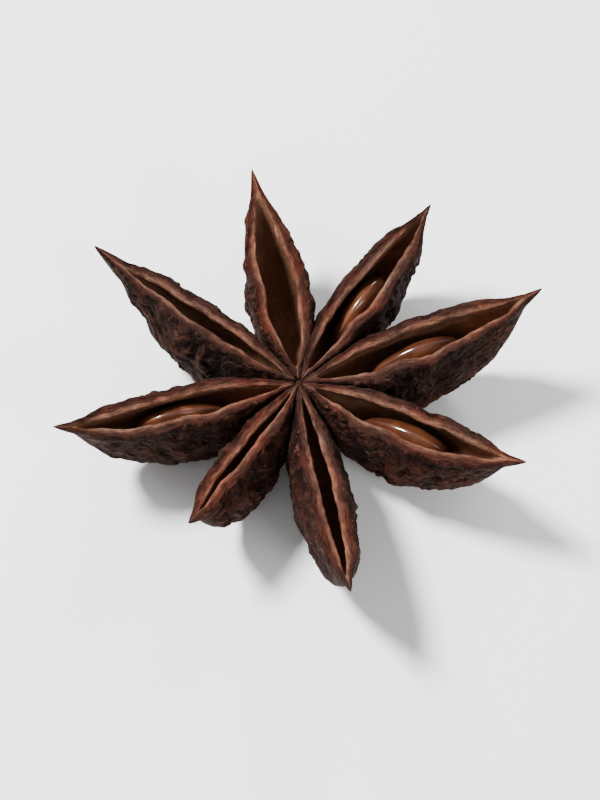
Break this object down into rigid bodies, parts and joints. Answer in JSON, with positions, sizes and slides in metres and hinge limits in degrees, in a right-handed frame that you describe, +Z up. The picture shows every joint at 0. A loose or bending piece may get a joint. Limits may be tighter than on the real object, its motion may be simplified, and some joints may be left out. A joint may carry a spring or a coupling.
{
  "type": "star anise pod",
  "caption": "Dried star anise pod: boat-shaped woody carpels fused in a star round a short column, split along their tops, with glossy seeds in the open ones.",
  "frame": {"origin": "on the surface the pod rests on, under the middle of its bounding box, which is within a millimetre of the star's middle", "axes": "+Z up, the pod's open side; +X along the longest span, between two nearly opposite beaks; +Y across it in the star's plane"},
  "size_m": [0.0333, 0.0315, 0.0108],
  "materials": {
    "husk": "matte, wrinkled and woody, dark red-brown, paler along the lips and smooth inside",
    "seed": "glossy, hard and smooth, chestnut to amber brown"
  },
  "bodies": {
    "root": {"husk": "husk", "seed_1": "seed", "seed_2": "seed", "seed_3": "seed", "seed_4": "seed"}
  },
  "joints": []
}
